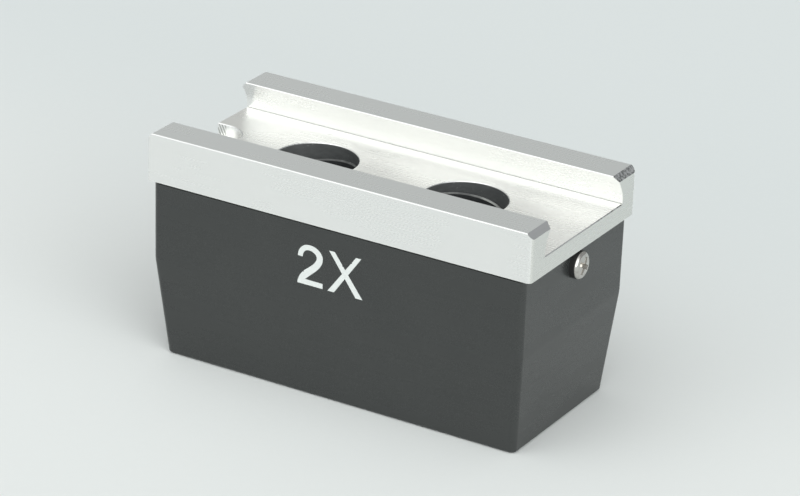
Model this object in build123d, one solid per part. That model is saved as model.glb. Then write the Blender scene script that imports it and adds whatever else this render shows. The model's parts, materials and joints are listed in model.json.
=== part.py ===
from build123d import *
import math
import os

# Paired 2X objective for a stereo microscope, in millimetres and degrees.
# +Z is up, and the origin lies under the middle of the housing's floor.

# Slide plate
plate_length = 62.0
plate_width = 29.5
plate_thickness = 7.2
plate_corner = 0.7
channel_depth = 4.5
mouth_width = 18.6
flank_angle = 60.0
foot_height = 1.5
flank_blend = 3.5
foot_groove = 0.12
edge_break = 0.12
end_bevel = 0.85

# Stop notch in the channel's left end
notch_width = 6.8
notch_reach = 5.7
notch_depth = 2.0

# Block below the plate, inside the housing's mouth
block_drop = 6.4
block_gap = 0.15
block_corner = 1.0

# Housing
housing_height = 27.0
end_overhang = 1.0
side_overhang = 0.15
upright_draft = 0.3
crease_height = 15.2
end_taper = 1.3
side_taper = 1.9
wall = 1.8
floor_thickness = 2.0
housing_corner = 0.9
crease_blend = 7.0
base_break = 0.3
shadow_gap = 0.25
shadow_reach = 0.4
hole_cover = 1.5
hole_bevel = 0.5

# Light channels, one for each eye, leaning towards each other as they go down
channel_spacing = 24.4
lean = 6.5
opening_lip = 2.0
opening_step = 0.6
opening_break = 0.12
running_fit = 0.05

# Objective tube
neck_wall = 1.05
neck_break = 0.2
chamber_step = 0.6
chamber_land = 0.5
stop_ledge = 1.15
tube_wall = 1.1
flat_depth = 0.6
flats_height = 3.0
groove_pitch = 1.2
groove_depth = 0.35
groove_count = 5

# Lock ring, from which the channel's other diameters follow
lock_ring_diameter = 17.0
lock_ring_wall = 1.8
lock_ring_thickness = 2.0
lock_notch_width = 2.0
lock_notch_depth = 0.9
lock_notch_count = 4

# Lens cell
cell_reach = 8.0
cell_engagement = 2.9
cell_step = 0.2
cell_neck_wall = 1.4
cell_floor_gap = 0.3
cell_chamfer = 0.4

# Glass and the rings that hold it
lens_wall = 1.5
crown_top_radius = 25.0
cement_radius = 26.0
crown_thickness = 3.2
flint_thickness = 1.5
lens_bevel = 0.15
aperture_width = 1.3
aperture_thickness = 0.8
glare_width = 1.7
glare_thickness = 0.6
ring_step = 0.4
ring_width = 1.3
ring_thickness = 2.0
ring_recess = 0.4
spanner_slot_width = 1.2
spanner_slot_depth = 0.8

# End screws
screw_drop = 2.6
screw_thread = 2.0
screw_head = 4.0
head_height = 1.4
head_crown = 0.3
head_blend = 0.5
screw_hole = 2.4
tap_web = 2.1
tap_runout = 1.45
recess_span = 2.6
recess_width = 0.7
recess_depth = 0.9
recess_draft = 12.0
recess_turn = 60.0
screw_point = 0.4

# Heights and widths that follow
channel_floor = housing_height + plate_thickness - channel_depth
plate_top = housing_height + plate_thickness
flank_run = (channel_depth - foot_height) / math.tan(math.radians(flank_angle))
foot_width = mouth_width + 2 * flank_run
housing_length = plate_length - 2 * end_overhang
housing_width = plate_width - 2 * side_overhang
block_length = housing_length - 2 * (wall + block_gap)
block_width = housing_width - 2 * (wall + block_gap)
block_bottom = housing_height - block_drop
screw_height = housing_height - screw_drop
lean_sine = math.sin(math.radians(lean))
lean_cosine = math.cos(math.radians(lean))

# Diameters on a channel's own axis
tube_thread = lock_ring_diameter - 2 * lock_ring_wall
opening_bore = tube_thread - 2 * opening_step
tube_bore = tube_thread - 2 * neck_wall
chamber_bore = tube_bore + 2 * chamber_step
cell_thread = tube_bore + 2 * stop_ledge
cell_bore = cell_thread - 2 * cell_neck_wall
tube_body = cell_thread + 2 * tube_wall
tube_flats = tube_body - 2 * flat_depth
cell_body = tube_body - 2 * cell_step
lens_diameter = cell_body - 2 * lens_wall
light_hole = cell_body - 2 * hole_cover
aperture = lens_diameter - 2 * aperture_width
glare_aperture = cell_thread - 2 * glare_width
ring_thread = lens_diameter + 2 * ring_step
ring_aperture = ring_thread - 2 * ring_width

# The end screws stop short of the tubes
screw_lean = (channel_floor - screw_height) * lean_sine / lean_cosine
tube_edge = channel_spacing / 2 - screw_lean + tube_thread / 2 / lean_cosine
tapped_depth = block_length / 2 - tube_edge - tap_web
screw_length = wall + block_gap + tapped_depth - tap_runout

# Depths along a channel's own axis, measured down from the channel floor
lock_seat = (channel_floor - block_bottom - lock_ring_diameter / 2 * lean_sine) / lean_cosine
shoulder_depth = lock_seat + lock_ring_thickness
cell_drop = cell_body / 2 * lean_sine + floor_thickness + cell_floor_gap
cell_end = (channel_floor - cell_drop) / lean_cosine
tube_end = cell_end - cell_reach
cell_top = tube_end - cell_engagement
glare_top = cell_top - glare_thickness
ring_bottom = cell_end - ring_recess
ring_top = ring_bottom - ring_thickness
glass_top = ring_top - flint_thickness - crown_thickness
aperture_sag = crown_top_radius - math.sqrt(crown_top_radius**2 - (aperture / 2) ** 2)
aperture_bottom = glass_top + aperture_sag
aperture_top = aperture_bottom - aperture_thickness
crown_rim = glass_top + crown_thickness - (
    cement_radius - math.sqrt(cement_radius**2 - (lens_diameter / 2) ** 2)
)

# Cutters run past the surface that they open by this much
overrun = 2.0
hanging = (Align.CENTER, Align.CENTER, Align.MAX)
standing = (Align.CENTER, Align.CENTER, Align.MIN)


def channel_frame(side):
    """Frame of one light channel: +Z runs up its leaning axis from the channel floor."""
    return Location((side * channel_spacing / 2, 0, channel_floor), (0, side * lean, 0))


def screw_frame(side, distance):
    """Frame of one end screw: +Z runs outwards along it from a distance off the middle."""
    return Location((side * distance, 0, screw_height), (0, side * 90, 0))


def disc(diameter, top, bottom):
    """Solid cylinder on a channel's axis, between two depths."""
    return Pos(0, 0, -top) * Cylinder(diameter / 2, bottom - top, align=hanging)


def collar(outer, inner, top, bottom):
    """Plain ring on a channel's axis, between two depths."""
    return disc(outer, top, bottom) - disc(inner, top - overrun, bottom + overrun)


def outer_rim(solid, diameter):
    """Round edges of a turned piece that have the given diameter."""
    edges = solid.edges().filter_by(GeomType.CIRCLE)
    return edges.filter_by(lambda edge: abs(edge.radius - diameter / 2) < running_fit / 2)


def plate_profile():
    """Cross-section of the slide plate, looking along its length."""
    body = Rectangle(plate_width, plate_thickness, align=(Align.CENTER, Align.MAX))
    body = Pos(0, plate_top) * body
    top_corners = body.vertices().group_by(Axis.Y)[-1]
    body = chamfer(top_corners, edge_break)
    half_mouth = mouth_width / 2
    half_foot = foot_width / 2
    foot_top = channel_floor + foot_height
    right_side = [
        (half_foot, channel_floor),
        (half_foot, foot_top),
        (half_mouth, plate_top),
        (half_mouth, plate_top + overrun),
    ]
    left_side = [(-y, z) for y, z in reversed(right_side)]
    channel = make_face(Polyline(*right_side, *left_side, close=True))
    bends = channel.vertices().filter_by(lambda corner: abs(corner.Y - foot_top) < edge_break)
    channel = fillet(bends, flank_blend)
    profile = body - channel
    lips = profile.vertices().filter_by(lambda corner: abs(abs(corner.X) - half_mouth) < edge_break)
    profile = chamfer(lips.filter_by(lambda corner: abs(corner.Y - plate_top) < edge_break), edge_break)
    groove = Rectangle(foot_groove, 2 * foot_groove)
    for side in (-1, 1):
        profile -= Pos(side * (half_foot - foot_groove / 2), channel_floor) * groove
    return profile


def stop_notch():
    """U-shaped cut in the left end of the channel floor."""
    round_centre = -plate_length / 2 + notch_reach - notch_width / 2
    outline = Pos(round_centre, 0) * Circle(notch_width / 2)
    outline += Pos(round_centre, 0) * Rectangle(plate_length, notch_width, align=(Align.MAX, Align.CENTER))
    return Pos(0, 0, channel_floor - notch_depth) * extrude(outline, notch_depth + overrun)


def end_wedge():
    """Bevel across the rails' top edges at the right end."""
    corner_x = plate_length / 2
    points = [
        (corner_x - end_bevel, plate_top),
        (corner_x - end_bevel, plate_top + overrun),
        (corner_x + overrun, plate_top + overrun),
        (corner_x + overrun, plate_top - end_bevel),
        (corner_x, plate_top - end_bevel),
    ]
    return extrude(Plane.XZ * make_face(Polyline(*points, close=True)), plate_width, both=True)


def floor_edges(plate):
    """Edges that lie in the plane of the channel floor."""
    return plate.edges().filter_by(lambda edge: abs(edge.center().Z - channel_floor) < running_fit)


def dovetail_plate():
    """Milled slide plate with its block, light openings and tapped holes."""
    plate = extrude(Plane.YZ * plate_profile(), plate_length / 2, both=True)
    outline = RectangleRounded(plate_length, plate_width, plate_corner)
    plate &= extrude(outline, plate_top + overrun)
    wedge = end_wedge()
    plate -= wedge
    plate -= mirror(wedge, Plane.YZ)
    plate -= stop_notch()
    block = extrude(RectangleRounded(block_length, block_width, block_corner), block_drop)
    plate += Pos(0, 0, block_bottom) * block
    for side in (-1, 1):
        frame = channel_frame(side)
        plate -= frame * disc(opening_bore, -overrun, opening_lip)
        plate -= frame * disc(tube_thread, opening_lip, shoulder_depth + overrun)
        seat = disc(lock_ring_diameter + 2 * block_gap, lock_seat, shoulder_depth + overrun)
        plate -= frame * seat
        hole = Cylinder(screw_thread / 2 + running_fit, tapped_depth, align=hanging)
        plate -= screw_frame(side, block_length / 2) * hole
    plate = chamfer(floor_edges(plate).filter_by(GeomType.ELLIPSE), opening_break)
    ends = floor_edges(plate).filter_by(lambda edge: abs(edge.center().X) > plate_length / 2 - notch_reach)
    ends = ends.filter_by(lambda edge: abs(edge.center().Y) < foot_width / 2 - foot_groove)
    return chamfer(ends, edge_break)


def tapered_profile(half_rim, taper, bottom, top, blend):
    """Nearly upright above the crease and tapered below it, with a soft bend between."""
    draft = math.tan(math.radians(upright_draft))
    half_crease = half_rim - draft * (housing_height - crease_height)
    half_top = half_rim + draft * (top - housing_height)
    half_low = half_crease - taper * (crease_height - bottom) / crease_height
    points = [(half_low, bottom), (half_crease, crease_height), (half_top, top)]
    points += [(-x, z) for x, z in reversed(points)]
    face = make_face(Polyline(*points, close=True))
    bends = face.vertices().filter_by(lambda corner: abs(corner.Y - crease_height) < edge_break)
    return fillet(bends, blend)


def housing_form(bottom, top, inset, corner):
    """Front and side silhouettes of the housing crossed, with rounded upright edges."""
    half_length = housing_length / 2 - inset
    half_width = housing_width / 2 - inset
    blend = crease_blend - inset
    front = tapered_profile(half_length, end_taper, bottom, top, blend)
    side = tapered_profile(half_width, side_taper, bottom, top, blend)
    form = extrude(Plane.XZ * front, housing_width, both=True)
    form &= extrude(Plane.YZ * side, housing_length, both=True)
    upright = form.edges().filter_by(lambda edge: edge.bounding_box().size.Z > running_fit)
    return fillet(upright, corner)


def housing():
    """One moulded shell, open at the top, with two leaning light holes in its floor."""
    shell = housing_form(0, housing_height, 0, housing_corner)
    shell = chamfer(shell.edges().group_by(Axis.Z)[0], base_break)
    inner = RectangleRounded(housing_length - 2 * shadow_reach, housing_width - 2 * shadow_reach, housing_corner)
    rebate = extrude(Rectangle(plate_length, plate_width) - inner, -shadow_gap)
    shell -= Pos(0, 0, housing_height) * rebate
    shell -= housing_form(floor_thickness, housing_height + overrun, wall, housing_corner / 2)
    for side in (-1, 1):
        shell -= channel_frame(side) * disc(light_hole, cell_end - overrun, channel_floor + overrun)
        shell -= screw_frame(side, housing_length / 2) * Cylinder(screw_hole / 2, 4 * wall)
    rims = shell.edges().group_by(Axis.Z)[0].filter_by(GeomType.ELLIPSE)
    return chamfer(rims, hole_bevel)


def end_screw(side):
    """Pan-head cross-recess screw through the housing's end wall."""
    crown_radius = ((screw_head / 2) ** 2 + head_crown**2) / (2 * head_crown)
    head = Cylinder(screw_head / 2, head_height, align=standing)
    head &= Pos(0, 0, head_height - crown_radius) * Sphere(crown_radius)
    head = fillet(outer_rim(head, screw_head).sort_by(Axis.Z)[-1], head_blend)
    recess = Rectangle(recess_span, recess_width) + Rectangle(recess_width, recess_span)
    recess = Pos(0, 0, head_height) * extrude(Rot(0, 0, recess_turn) * recess, -recess_depth, taper=recess_draft)
    shank = Cylinder(screw_thread / 2, screw_length, align=hanging)
    shank = chamfer(shank.edges().group_by(Axis.Z)[0], screw_point)
    return screw_frame(side, housing_length / 2) * (head - recess + shank)


def objective_tube():
    """Threaded neck with a grooved bore, and a body with a light-trap chamber and spanner flats."""
    neck = disc(tube_thread - 2 * running_fit, opening_lip, shoulder_depth)
    tube = neck + disc(tube_body, shoulder_depth, tube_end)
    flats = Box(tube_body, tube_body, flats_height, align=standing)
    flats -= Box(tube_flats, tube_body, flats_height, align=standing)
    tube -= Pos(0, 0, -tube_end) * flats
    tube -= disc(tube_bore, opening_lip - overrun, tube_end)
    tube = chamfer(outer_rim(tube, tube_bore).sort_by(Axis.Z)[-1], neck_break)
    tube -= disc(chamber_bore, shoulder_depth + chamber_land, tube_end)
    tube -= disc(cell_thread, glare_top, tube_end + overrun)
    for turn in range(groove_count):
        middle = opening_lip + (turn + 1) * groove_pitch
        points = [
            (tube_bore / 2, groove_depth - middle),
            (tube_bore / 2 + groove_depth, -middle),
            (tube_bore / 2, -groove_depth - middle),
        ]
        tube -= revolve(Plane.XZ * make_face(Polyline(*points, close=True)), Axis.Z)
    return tube


def lock_ring():
    """Jam nut with spanner notches in its rim."""
    ring = collar(lock_ring_diameter, tube_thread, lock_seat, shoulder_depth)
    notch = Box(2 * lock_notch_depth, lock_notch_width, 2 * lock_ring_thickness + overrun)
    notches = Pos(0, 0, -lock_seat) * PolarLocations(lock_ring_diameter / 2, lock_notch_count) * notch
    return ring - notches


def lens_cell():
    """Cell that screws up into the tube and carries the glass from below."""
    neck = disc(cell_thread - 2 * running_fit, cell_top, tube_end)
    cell = neck + disc(cell_body, tube_end, cell_end)
    cell = chamfer(outer_rim(cell, cell_body), cell_chamfer)
    cell -= disc(cell_bore, cell_top - overrun, cell_end + overrun)
    cell -= disc(lens_diameter + 2 * running_fit, aperture_top, cell_end)
    return cell - disc(ring_thread, ring_top, cell_end + overrun)


def aperture_stop():
    """Thin ring on the cell's shoulder, whose lower inner edge the glass rests against."""
    return collar(lens_diameter, aperture, aperture_top, aperture_bottom)


def glare_stop():
    """Thin ring between the tube's shoulder and the cell's top."""
    return collar(cell_thread - 2 * running_fit, glare_aperture, glare_top, cell_top)


def glass_sphere(radius, vertex):
    """Sphere whose top lies on the axis at one depth."""
    return Pos(0, 0, -vertex - radius) * Sphere(radius)


def cement_sphere():
    """Sphere of the cemented face, whose lowest point lies on the axis."""
    return Pos(0, 0, cement_radius - glass_top - crown_thickness) * Sphere(cement_radius)


def crown_lens():
    """Upper element of the cemented doublet, convex on both sides."""
    blank = disc(lens_diameter, glass_top, ring_top)
    crown = blank & glass_sphere(crown_top_radius, glass_top) & cement_sphere()
    return chamfer(outer_rim(crown, lens_diameter).sort_by(Axis.Z)[-1], lens_bevel)


def flint_lens():
    """Lower element, hollow above where the crown sits and flat below."""
    flint = disc(lens_diameter, crown_rim, ring_top) - cement_sphere()
    return chamfer(outer_rim(flint, lens_diameter).sort_by(Axis.Z)[0], lens_bevel)


def retaining_ring():
    """Threaded ring with two spanner slots across its lower face."""
    ring = collar(ring_thread - 2 * running_fit, ring_aperture, ring_top, ring_bottom)
    slot = Box(2 * ring_thread, spanner_slot_width, 2 * spanner_slot_depth)
    return ring - Pos(0, 0, -ring_bottom) * slot


def build():
    """Every piece of the objective, by name."""
    pieces = {"dovetail_plate": dovetail_plate(), "housing": housing()}
    channel_pieces = {
        "objective_tube": objective_tube(),
        "lock_ring": lock_ring(),
        "glare_stop": glare_stop(),
        "lens_cell": lens_cell(),
        "aperture_stop": aperture_stop(),
        "crown_lens": crown_lens(),
        "flint_lens": flint_lens(),
        "retaining_ring": retaining_ring(),
    }
    for label, side in (("left", -1), ("right", 1)):
        pieces[f"end_screw_{label}"] = end_screw(side)
        for name, piece in channel_pieces.items():
            pieces[f"{name}_{label}"] = channel_frame(side) * piece
    return pieces


os.makedirs("parts", exist_ok=True)
for name, piece in build().items():
    export_step(piece, f"parts/{name}.step")
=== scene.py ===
import json
import math

import bpy
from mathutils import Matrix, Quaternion, Vector
from mathutils.geometry import intersect_line_line_2d


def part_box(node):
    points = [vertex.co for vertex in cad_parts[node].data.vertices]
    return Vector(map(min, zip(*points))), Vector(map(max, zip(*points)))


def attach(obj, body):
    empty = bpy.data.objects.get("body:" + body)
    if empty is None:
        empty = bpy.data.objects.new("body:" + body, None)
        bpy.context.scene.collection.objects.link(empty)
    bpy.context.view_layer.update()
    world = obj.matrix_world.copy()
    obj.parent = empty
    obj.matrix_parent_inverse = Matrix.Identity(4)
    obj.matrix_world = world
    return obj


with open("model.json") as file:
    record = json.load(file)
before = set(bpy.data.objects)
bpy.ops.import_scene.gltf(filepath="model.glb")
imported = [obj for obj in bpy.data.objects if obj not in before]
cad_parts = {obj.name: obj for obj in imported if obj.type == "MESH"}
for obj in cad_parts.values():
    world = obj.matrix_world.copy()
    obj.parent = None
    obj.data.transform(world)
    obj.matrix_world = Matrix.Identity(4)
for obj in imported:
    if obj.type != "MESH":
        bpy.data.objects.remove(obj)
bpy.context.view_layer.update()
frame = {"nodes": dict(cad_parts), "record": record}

MM = 0.001

# Places of the light channels and of the plate's features, as in the CAD model
PLATE_TOP = 34.2 * MM
CHANNEL_FLOOR = 29.7 * MM
CHANNEL_OFFSET = 12.2 * MM
CHANNEL_LEAN = math.radians(6.5)
BLACKENED_RADIUS = 6.14 * MM
RIM_DEPTH = 2.0 * MM
RIM_RADIUS = 5.65 * MM
NOTCH_SIDE = 3.4 * MM
HOUSING_HEIGHT = 27.0 * MM
HOUSING_DRAFT = math.radians(0.3)
HOUSING_LOW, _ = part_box("housing")
SCREW_LOW, SCREW_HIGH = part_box("end_screw_right")
SCREW_HEIGHT = (SCREW_LOW.z + SCREW_HIGH.z) / 2
SCREW_FACE_RADIUS = 1.6 * MM

# Marks that the cutter left on the notch's wall
CHATTER_PITCH = 0.5 * MM
CHATTER_SLANT = 0.5
CHATTER_END = -29.4 * MM

# Painted light on the channel floor: a brighter, partly non-metallic copy of the aluminium stands
# in for light bounced off the flanks, held back beside the notch and along the front as painted
# shade
BOUNCE_LIGHT_SHARE = 0.7
NOTCH_SHADE_SLANT = 0.62
NOTCH_SHADE_END = -25.4 * MM
BOUNCE_LIGHT_START = -22.2 * MM
FRONT_SHADE_EDGE = -1.0 * MM
BOUNCE_LIGHT_REAR = 4.5 * MM
FRONT_BOUNCE_SHARE = 0.65

# Printed magnification: place and height of the characters, and thickness of the ink
CHARACTER_BASE = 17.735 * MM
CHARACTER_HEIGHT = 6.08 * MM
INK_THICKNESS = 0.03 * MM
INK_SINK = 0.005 * MM
# Small flecks missing at the characters' edges: across and above their foot, in millimetres
MISSING_FLECKS = ((2.97, 5.08), (1.60, 4.33), (-4.76, 1.93))
FLECK_RADIUS = 0.14 * MM
FLECK_CORE = 0.06 * MM

# Camera, fitted to the photograph's edges
CAMERA_TARGET = Vector((0.0, 0.00356, 0.01781))
CAMERA_DISTANCE = 0.5519
CAMERA_AZIMUTH = math.radians(30.28)
CAMERA_ELEVATION = math.radians(23.79)
CAMERA_ROLL = math.radians(2.04)
CAMERA_SENSOR = 36.0
CAMERA_LENS = 175.2
CAMERA_REACH = (0.01, 20.0)

# Studio
FLOOR_SIZE = 6.0
FLOOR_DROP = 0.02 * MM
# Painted shade: the floor's colour darkens from near to far behind the part
FLOOR_NEAR = (0.765, 0.787, 0.778)
FLOOR_FAR_SHADED = (0.686, 0.722, 0.722)
FLOOR_FADE = 0.10
SKY_COLOUR = (0.98, 1.0, 0.995, 1.0)
SKY_LEVEL = 0.42
# Each light: azimuth from +X towards +Y, elevation, strength at its middle
SKY_LIGHTS = ((-33, 15, 4.3), (-124, 8, 1.5), (-105, 64, 1.32), (130, 8, 0.2))
SKY_FALL_OFF = 7.0


class Shader:
    """A node material with one Principled surface, and short calls for the nodes that feed it."""

    def __init__(self, name):
        self.material = bpy.data.materials.new(name)
        self.material.use_nodes = True
        self.tree = self.material.node_tree
        self.surface = self.tree.nodes["Principled BSDF"]
        self.place = self.node("ShaderNodeTexCoord").outputs["Object"]
        self.normal = self.node("ShaderNodeTexCoord").outputs["Normal"]

    def node(self, kind, **settings):
        made = self.tree.nodes.new(kind)
        for key, value in settings.items():
            setattr(made, key, value)
        return made

    def feed(self, socket, value):
        """Links an output, or sets a plain value."""
        if isinstance(value, bpy.types.NodeSocket):
            self.tree.links.new(value, socket)
        else:
            socket.default_value = value

    def set(self, **values):
        """Sets or links the surface's own sockets, by name with underscores."""
        for key, value in values.items():
            self.feed(self.surface.inputs[key.replace("_", " ")], value)

    def math(self, operation, first, second=0.0, third=0.0):
        made = self.node("ShaderNodeMath", operation=operation)
        for socket, value in zip(made.inputs, (first, second, third)):
            self.feed(socket, value)
        return made.outputs[0]

    def product(self, first, *others):
        """Multiplies any number of values."""
        for other in others:
            first = self.math("MULTIPLY", first, other)
        return first

    def length(self, first, second):
        """Length of the hypotenuse over two sides."""
        squares = self.math("ADD", self.math("POWER", first, 2.0), self.math("POWER", second, 2.0))
        return self.math("SQRT", squares)

    def axes(self, vector):
        split = self.node("ShaderNodeSeparateXYZ")
        self.feed(split.inputs[0], vector)
        return split.outputs

    def stretched(self, scale):
        """Object coordinates times a scale for each axis, in cycles per metre."""
        made = self.node("ShaderNodeVectorMath", operation="MULTIPLY")
        self.feed(made.inputs[0], self.place)
        self.feed(made.inputs[1], scale)
        return made.outputs[0]

    def gap(self, point):
        """Distance from a point in object coordinates."""
        made = self.node("ShaderNodeVectorMath", operation="DISTANCE")
        self.feed(made.inputs[0], self.place)
        self.feed(made.inputs[1], point)
        return made.outputs["Value"]

    def noise(self, scale, detail=2.0, roughness=0.5):
        made = self.node("ShaderNodeTexNoise")
        self.feed(made.inputs["Vector"], self.stretched(scale))
        self.feed(made.inputs["Scale"], 1.0)
        self.feed(made.inputs["Detail"], detail)
        self.feed(made.inputs["Roughness"], roughness)
        return made.outputs["Fac"]

    def spread(self, value, low, high, out_low=0.0, out_high=1.0):
        """Maps a range of values to another, smoothly and clamped."""
        made = self.node("ShaderNodeMapRange", interpolation_type="SMOOTHSTEP")
        for socket, amount in zip(made.inputs[:5], (value, low, high, out_low, out_high)):
            self.feed(socket, amount)
        return made.outputs[0]

    def blend(self, factor, first, second):
        """Mixes two numbers."""
        made = self.node("ShaderNodeMix", data_type="FLOAT")
        for socket, value in zip(made.inputs[:1] + made.inputs[2:4], (factor, first, second)):
            self.feed(socket, value)
        return made.outputs[0]

    def tint(self, factor, first, second):
        """Mixes two colours."""
        made = self.node("ShaderNodeMix", data_type="RGBA")
        self.feed(made.inputs[0], factor)
        for socket, value in zip(made.inputs[6:8], (first, second)):
            self.feed(socket, value if isinstance(value, bpy.types.NodeSocket) else (*value, 1.0))
        return made.outputs[2]

    def relief(self, height, depth, below=None):
        """Bump of the given depth in metres, on top of another one if given."""
        made = self.node("ShaderNodeBump")
        self.feed(made.inputs["Height"], height)
        self.feed(made.inputs["Distance"], depth)
        if below is not None:
            self.feed(made.inputs["Normal"], below)
        return made.outputs["Normal"]


def channel_place(shader, x, y, z):
    """Distance from the leaning axis of the nearer light channel, and depth along it."""
    rise = shader.math("SUBTRACT", z, CHANNEL_FLOOR)
    offset = shader.math("SUBTRACT", shader.math("ABSOLUTE", x), CHANNEL_OFFSET)
    sine, cosine = math.sin(CHANNEL_LEAN), math.cos(CHANNEL_LEAN)
    across = shader.math("MULTIPLY_ADD", rise, -sine, shader.math("MULTIPLY", offset, cosine))
    along = shader.math("MULTIPLY_ADD", offset, sine, shader.math("MULTIPLY", rise, cosine))
    return shader.length(across, y), shader.math("MULTIPLY", along, -1.0)


def chatter_marks(shader, x, y, z):
    """Waves on the notch's wall, leaning to the right as they go down."""
    slanted = shader.math("SUBTRACT", z, CHANNEL_FLOOR)
    slanted = shader.math("MULTIPLY_ADD", slanted, CHATTER_SLANT, x)
    waves = shader.math("SINE", shader.math("MULTIPLY", slanted, math.tau / CHATTER_PITCH))
    return shader.product(
        shader.spread(waves, -0.2, 0.7),
        shader.spread(y, NOTCH_SIDE + 0.06 * MM, NOTCH_SIDE + 0.02 * MM),
        shader.spread(y, NOTCH_SIDE - 0.2 * MM, NOTCH_SIDE - 0.1 * MM),
        shader.spread(x, CHATTER_END, CHATTER_END - 0.4 * MM),
        shader.spread(z, CHANNEL_FLOOR - 0.12 * MM, CHANNEL_FLOOR - 0.18 * MM),
    )


def blackened_bore(shader, speckle):
    """Uneven black of the light openings' walls, with a few scuffs."""
    uneven = shader.noise((900, 900, 2600), 3.0)
    patches = shader.noise((700, 700, 700), 3.0)
    scuffs = shader.product(
        shader.spread(speckle, 0.62, 0.74),
        0.6,
        shader.spread(patches, 0.5, 0.6),
    )
    black = shader.tint(uneven, (0.055, 0.059, 0.060), (0.115, 0.120, 0.120))
    return shader.tint(scuffs, black, (0.35, 0.36, 0.35))


def milled_aluminium():
    """Bright milled plate with faint streaks, rough bevels, chatter and blackened bores, with
    painted shade on the end faces and bevels and painted light on the channel floor.
    """
    shader = Shader("milled_aluminium")
    x, y, z = shader.axes(shader.place)
    facing_x, _, facing_z = shader.axes(shader.normal)
    facing_x, facing_z = shader.math("ABSOLUTE", facing_x), shader.math("ABSOLUTE", facing_z)

    # Where each kind of surface lies
    end_face = shader.spread(facing_x, 0.6, 0.8)
    level = shader.spread(facing_z, 0.9, 0.98)
    under_top = shader.spread(z, PLATE_TOP - 0.4 * MM, PLATE_TOP - 0.6 * MM)
    channel_floor = shader.math("MULTIPLY", level, under_top)
    rail_top = shader.math("SUBTRACT", level, channel_floor)
    bevel = shader.spread(shader.math("MULTIPLY", facing_x, facing_z), 0.3, 0.45)
    rear_bevel = shader.math("MULTIPLY", bevel, shader.spread(y, 0.0, 5 * MM))
    bore, _ = channel_place(shader, x, y, z)
    blackened = shader.spread(bore, BLACKENED_RADIUS, BLACKENED_RADIUS - 0.04 * MM)
    chatter = chatter_marks(shader, x, y, z)

    long_cut = shader.noise((25, 4200, 4200))
    cross_cut = shader.noise((4200, 40, 4200))
    streaks = shader.blend(end_face, long_cut, cross_cut)
    cloud = shader.noise((90, 160, 160), 4.0)
    speckle = shader.noise((2600, 2600, 2600))

    bright = shader.tint(cloud, (0.865, 0.868, 0.858), (0.885, 0.888, 0.878))
    bright = shader.tint(rail_top, bright, (0.86, 0.88, 0.865))
    # Painted light: the channel floor's brighter, warmer colour stands in for light bounced off
    # the flanks
    bright = shader.tint(channel_floor, bright, (0.942, 0.942, 0.905))
    # Painted shade: the end faces and the bevels get darker copies of the aluminium, chosen by
    # which way each face turns
    bright = shader.tint(end_face, bright, (0.77, 0.775, 0.745))
    bright = shader.tint(bevel, bright, (0.64, 0.65, 0.66))
    worn = shader.math("MULTIPLY", rear_bevel, shader.spread(speckle, 0.40, 0.60))
    bright = shader.tint(worn, bright, (0.26, 0.27, 0.27))
    bright = shader.tint(shader.math("MULTIPLY", chatter, 0.8), bright, (0.36, 0.37, 0.35))

    # Painted light and shade: the floor is made less metallic where bounce light is painted, and
    # stays metallic beside the notch and partly along the front as painted shade
    slanted = shader.math("MULTIPLY_ADD", y, NOTCH_SHADE_SLANT, x)
    painted_bounce_light = shader.product(
        shader.spread(slanted, NOTCH_SHADE_END, BOUNCE_LIGHT_START),
        channel_floor,
        shader.spread(y, FRONT_SHADE_EDGE, BOUNCE_LIGHT_REAR, FRONT_BOUNCE_SHARE, 1.0),
    )
    metallic = shader.math("MULTIPLY_ADD", painted_bounce_light, -BOUNCE_LIGHT_SHARE, 1.0)

    rough = shader.spread(streaks, 0.3, 0.7, 0.27, 0.29)
    rough = shader.math("ADD", rough, shader.spread(cloud, 0.3, 0.7, -0.01, 0.015))
    rough = shader.math("ADD", rough, shader.math("MULTIPLY", bevel, 0.12))

    relief = shader.relief(streaks, 0.0003 * MM)
    relief = shader.relief(shader.math("MULTIPLY", speckle, rear_bevel), 0.04 * MM, relief)
    relief = shader.relief(chatter, 0.03 * MM, relief)
    shader.set(
        Base_Color=shader.tint(blackened, bright, blackened_bore(shader, speckle)),
        Metallic=shader.math("MULTIPLY", metallic, shader.math("SUBTRACT", 1.0, blackened)),
        Roughness=shader.blend(blackened, rough, 0.42),
        Normal=relief,
    )
    return shader.material


def black_housing():
    """Satin black moulding with a fine grain and faint handling marks."""
    shader = Shader("black_housing")
    cloud = shader.noise((110, 110, 110), 5.0, 0.6)
    grain = shader.noise((6500, 6500, 6500))
    swipes = shader.noise((60, 60, 420), 3.0)
    rough = shader.spread(grain, 0.3, 0.7, 0.24, 0.28)
    shader.set(
        Base_Color=shader.tint(cloud, (0.023, 0.0255, 0.025), (0.030, 0.0325, 0.0315)),
        Roughness=shader.math("ADD", rough, shader.spread(swipes, 0.35, 0.7, 0.0, 0.05)),
        Specular_IOR_Level=0.5,
        Normal=shader.relief(grain, 0.002 * MM),
    )
    return shader.material


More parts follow.
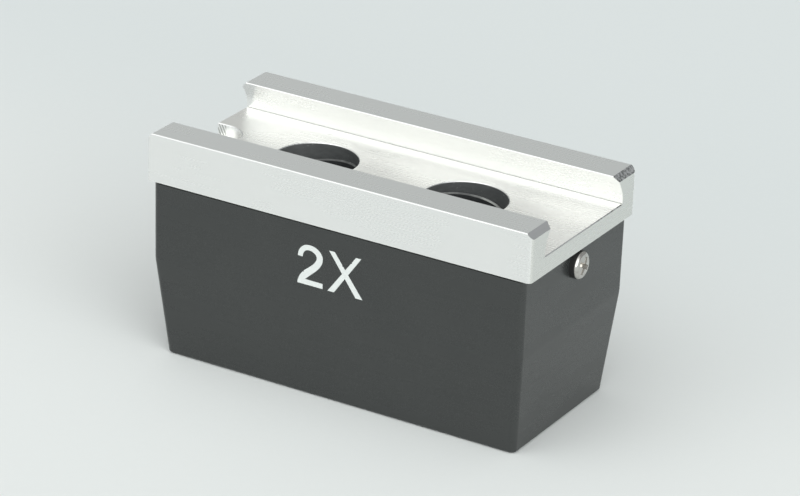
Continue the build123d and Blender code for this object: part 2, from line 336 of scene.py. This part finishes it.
def bright_screw():
    """Nickel-plated screw with faint turning rings, a little tarnish, and painted shade on the
    head's side.
    """
    shader = Shader("bright_screw")
    rings = shader.noise((200, 5200, 5200), 2.0)
    tarnish = shader.noise((1500, 1500, 1500), 4.0)
    facing_x, _, _ = shader.axes(shader.normal)
    _, y, z = shader.axes(shader.place)
    radius = shader.length(y, shader.math("SUBTRACT", z, SCREW_HEIGHT))
    # Painted shade: the head's cylindrical side is made near black and not metallic
    side = shader.product(
        shader.spread(shader.math("ABSOLUTE", facing_x), 0.35, 0.2),
        shader.spread(radius, SCREW_FACE_RADIUS, SCREW_FACE_RADIUS + 0.1 * MM),
    )
    tarnished = shader.spread(tarnish, 0.45, 0.75)
    nickel = shader.tint(tarnished, (0.56, 0.545, 0.52), (0.42, 0.405, 0.38))
    shader.set(
        Base_Color=shader.tint(side, nickel, (0.015, 0.015, 0.015)),
        Metallic=shader.math("SUBTRACT", 1.0, side),
        Roughness=shader.blend(side, shader.spread(tarnish, 0.3, 0.75, 0.14, 0.24), 0.5),
        Normal=shader.relief(rings, 0.002 * MM),
    )
    return shader.material


def black_metal():
    """Matt black of the turned pieces inside, with a painted highlight along each tube's upper
    edge.
    """
    shader = Shader("black_metal")
    x, y, z = shader.axes(shader.place)
    turned = shader.noise((700, 700, 7000))
    cloud = shader.noise((500, 500, 500), 3.0)
    radius, depth = channel_place(shader, x, y, z)

    # The painted highlight is strongest on the right tube's right-hand side
    patchy = shader.spread(cloud, 0.4, 0.65, 0.1, 0.4)
    right_highlight = shader.spread(x, 11 * MM, 13 * MM, 0.0, 0.6)
    # Painted highlight: a lighter, metallic band along each tube's upper edge
    painted_rim_highlight = shader.product(
        shader.spread(depth, RIM_DEPTH + 0.25 * MM, RIM_DEPTH + 0.18 * MM),
        shader.spread(radius, RIM_RADIUS + 0.3 * MM, RIM_RADIUS + 0.2 * MM),
        shader.math("ADD", patchy, right_highlight),
    )
    black = shader.tint(cloud, (0.030, 0.032, 0.033), (0.048, 0.050, 0.052))
    shader.set(
        Base_Color=shader.tint(painted_rim_highlight, black, (0.42, 0.43, 0.41)),
        Metallic=painted_rim_highlight,
        Roughness=shader.spread(turned, 0.3, 0.7, 0.36, 0.46),
        Normal=shader.relief(turned, 0.003 * MM),
    )
    return shader.material


def optical_glass():
    """Polished, coated glass."""
    shader = Shader("optical_glass")
    haze = shader.noise((300, 300, 300), 2.0)
    shader.set(
        Base_Color=shader.tint(haze, (0.96, 0.985, 0.975), (0.985, 0.995, 1.0)),
        Roughness=shader.spread(haze, 0.3, 0.8, 0.0, 0.015),
        IOR=1.55,
        Transmission_Weight=1.0,
        Coat_Weight=0.35,
        Coat_Tint=(0.86, 0.80, 1.0, 1.0),
    )
    return shader.material


def printed_ink():
    """White pad print, a little uneven, with small flecks missing at its edges."""
    shader = Shader("printed_ink")
    mottle = shader.noise((1800, 1800, 1800), 4.0, 0.6)
    ink = shader.tint(mottle, (0.60, 0.63, 0.615), (0.66, 0.685, 0.675))
    for fleck in MISSING_FLECKS:
        gap = shader.gap(Vector((*fleck, 0.0)) * MM)
        ink = shader.tint(shader.spread(gap, FLECK_RADIUS, FLECK_CORE), ink, (0.05, 0.05, 0.05))
    shader.set(
        Base_Color=ink,
        Roughness=shader.spread(mottle, 0.3, 0.7, 0.42, 0.58),
        Normal=shader.relief(mottle, 0.006 * MM),
    )
    return shader.material


def studio_floor():
    """Plain pale sheet with painted shade, a little darker far behind the part, and a barely
    visible tooth.
    """
    shader = Shader("studio_floor")
    _, y, _ = shader.axes(shader.place)
    tooth = shader.noise((900, 900, 900), 3.0)
    sheet = shader.tint(shader.spread(y, 0.0, FLOOR_FADE), FLOOR_NEAR, FLOOR_FAR_SHADED)
    sheet = shader.tint(shader.math("MULTIPLY", tooth, 0.02), sheet, (0.4, 0.4, 0.4))
    shader.set(
        Base_Color=sheet,
        Roughness=shader.spread(tooth, 0.3, 0.7, 0.75, 0.85),
        Specular_IOR_Level=0.2,
        Normal=shader.relief(tooth, 0.01 * MM),
    )
    return shader.material


def flat_character(name, outline_adder):
    """A filled outline on the housing's drafted front, as thick as the ink."""
    curve = bpy.data.curves.new(name, "CURVE")
    curve.dimensions = "2D"
    curve.fill_mode = "BOTH"
    curve.extrude = INK_THICKNESS / 2
    curve.resolution_u = 16
    outline_adder(curve)
    outline = bpy.data.objects.new(name + "_outline", curve)
    mesh = bpy.data.meshes.new_from_object(outline)
    bpy.data.objects.remove(outline)
    piece = bpy.data.objects.new(name, mesh)
    bpy.context.scene.collection.objects.link(piece)
    front = HOUSING_LOW.y + (HOUSING_HEIGHT - CHARACTER_BASE) * math.tan(HOUSING_DRAFT)
    piece.location = (0.0, front - INK_THICKNESS / 2 + INK_SINK, CHARACTER_BASE)
    piece.rotation_euler = (math.radians(90) + HOUSING_DRAFT, 0.0, 0.0)
    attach(piece, "root")
    return piece


def outline_of_two(curve):
    """The figure two: a bow at the top, a bend down to the left and a straight foot."""
    # Each point: place, then the handles on its way in and out, as offsets, in millimetres
    corner = (0.0, 0.0)
    points = [
        ((-5.70, 4.13), corner, (0.04, 1.15)),
        ((-3.80, 6.06), (-1.12, 0.0), (1.12, 0.0)),
        ((-1.66, 4.40), (0.0, 0.92), (0.0, -0.82)),
        ((-2.87, 2.25), (0.70, 0.66), (-0.56, -0.50)),
        ((-4.45, 0.80), (0.40, 0.40), corner),
        ((-1.60, 0.76), corner, corner),
        ((-1.59, 0.0), corner, corner),
        ((-5.71, 0.0), corner, (0.05, 0.80)),
        ((-4.68, 2.06), (-0.60, -0.64), (0.48, 0.45)),
        ((-2.63, 4.40), (0.0, -0.92), (0.0, 0.50)),
        ((-3.85, 5.28), (0.55, 0.0), (-0.66, 0.0)),
        ((-4.93, 4.09), (0.03, 0.74), corner),
    ]
    spline = curve.splines.new("BEZIER")
    spline.bezier_points.add(len(points) - 1)
    for knot, (place, way_in, way_out) in zip(spline.bezier_points, points):
        knot.handle_left_type = knot.handle_right_type = "FREE"
        centre = Vector((*place, 0.0)) * MM
        knot.co = centre
        knot.handle_left = centre + Vector((*way_in, 0.0)) * MM
        knot.handle_right = centre + Vector((*way_out, 0.0)) * MM
    spline.use_cyclic_u = True


def outline_of_cross(curve):
    """The letter X: two straight strokes that cross."""
    # Each edge of the two strokes: its ends, in millimetres
    top = CHARACTER_HEIGHT / MM
    falling_left = Vector((-0.65, top)), Vector((3.78, 0.0))
    falling_right = Vector((0.25, top)), Vector((4.89, 0.0))
    rising_left = Vector((-0.76, 0.0)), Vector((3.70, top))
    rising_right = Vector((0.27, 0.0)), Vector((4.53, top))
    corners = [
        falling_left[0],
        falling_right[0],
        intersect_line_line_2d(*falling_right, *rising_left),
        rising_left[1],
        rising_right[1],
        intersect_line_line_2d(*falling_right, *rising_right),
        falling_right[1],
        falling_left[1],
        intersect_line_line_2d(*falling_left, *rising_right),
        rising_right[0],
        rising_left[0],
        intersect_line_line_2d(*falling_left, *rising_left),
    ]
    spline = curve.splines.new("POLY")
    spline.points.add(len(corners) - 1)
    for knot, corner in zip(spline.points, corners):
        knot.co = (corner.x * MM, corner.y * MM, 0.0, 1.0)
    spline.use_cyclic_u = True


def dress_cad_nodes():
    """Gives each CAD node the material of its slot in the record."""
    makers = {
        "milled_aluminium": milled_aluminium,
        "black_housing": black_housing,
        "bright_screw": bright_screw,
        "black_metal": black_metal,
        "optical_glass": optical_glass,
    }
    materials = {slot: maker() for slot, maker in makers.items()}
    for part in frame["record"]["subparts"]:
        node = frame["nodes"][part["node"]]
        node.data.materials.clear()
        node.data.materials.append(materials[part["material_slot"]])


def print_magnification():
    """Prints the magnification, 2X, on the housing's front."""
    ink = printed_ink()
    for name, adder in (("print_two", outline_of_two), ("print_cross", outline_of_cross)):
        piece = flat_character(name, adder)
        piece.data.materials.append(ink)


def lay_floor():
    """Lays the sheet just under the part, so that no two faces share a plane."""
    half = FLOOR_SIZE / 2
    around = ((-half, -half), (half, -half), (half, half), (-half, half))
    mesh = bpy.data.meshes.new("floor")
    mesh.from_pydata([(x, y, -FLOOR_DROP) for x, y in around], [], [(0, 1, 2, 3)])
    floor = bpy.data.objects.new("floor", mesh)
    bpy.context.scene.collection.objects.link(floor)
    mesh.materials.append(studio_floor())


def direction_to(azimuth, elevation):
    """Unit vector for an azimuth from +X towards +Y and an elevation, in degrees."""
    azimuth, elevation = math.radians(azimuth), math.radians(elevation)
    flat = math.cos(elevation)
    return flat * math.cos(azimuth), flat * math.sin(azimuth), math.sin(elevation)


def light_studio():
    """Fills an even sky with wide, soft lights, the strongest low at the front right."""
    world = bpy.data.worlds.new("studio")
    bpy.context.scene.world = world
    world.use_nodes = True
    nodes, links = world.node_tree.nodes, world.node_tree.links
    direction = nodes.new("ShaderNodeTexCoord").outputs["Generated"]

    def combine(operation, first, second, third=0.0):
        made = nodes.new("ShaderNodeMath")
        made.operation = operation
        for socket, value in zip(made.inputs, (first, second, third)):
            if isinstance(value, bpy.types.NodeSocket):
                links.new(value, socket)
            else:
                socket.default_value = value
        return made.outputs[0]

    level = SKY_LEVEL
    for azimuth, elevation, strength in SKY_LIGHTS:
        towards = nodes.new("ShaderNodeVectorMath")
        towards.operation = "DOT_PRODUCT"
        links.new(direction, towards.inputs[0])
        towards.inputs[1].default_value = direction_to(azimuth, elevation)
        ahead = combine("MAXIMUM", towards.outputs["Value"], 0.0)
        level = combine("MULTIPLY_ADD", combine("POWER", ahead, SKY_FALL_OFF), strength, level)
    background = nodes["Background"]
    background.inputs["Color"].default_value = SKY_COLOUR
    links.new(level, background.inputs["Strength"])


def place_camera():
    """Stands the camera where the photograph was taken from."""
    data = bpy.data.cameras.new("camera")
    data.sensor_width = CAMERA_SENSOR
    data.lens = CAMERA_LENS
    data.clip_start, data.clip_end = CAMERA_REACH
    camera = bpy.data.objects.new("camera", data)
    bpy.context.scene.collection.objects.link(camera)
    flat = math.cos(CAMERA_ELEVATION)
    back = Vector((
        math.sin(CAMERA_AZIMUTH) * flat,
        -math.cos(CAMERA_AZIMUTH) * flat,
        math.sin(CAMERA_ELEVATION),
    ))
    camera.location = CAMERA_TARGET + back * CAMERA_DISTANCE
    roll = Quaternion((0.0, 0.0, 1.0), CAMERA_ROLL)
    camera.rotation_mode = "QUATERNION"
    camera.rotation_quaternion = (-back).to_track_quat("-Z", "Y") @ roll
    bpy.context.scene.camera = camera


dress_cad_nodes()
print_magnification()
lay_floor()
light_studio()
place_camera()
bpy.context.scene.view_settings.view_transform = "Standard"
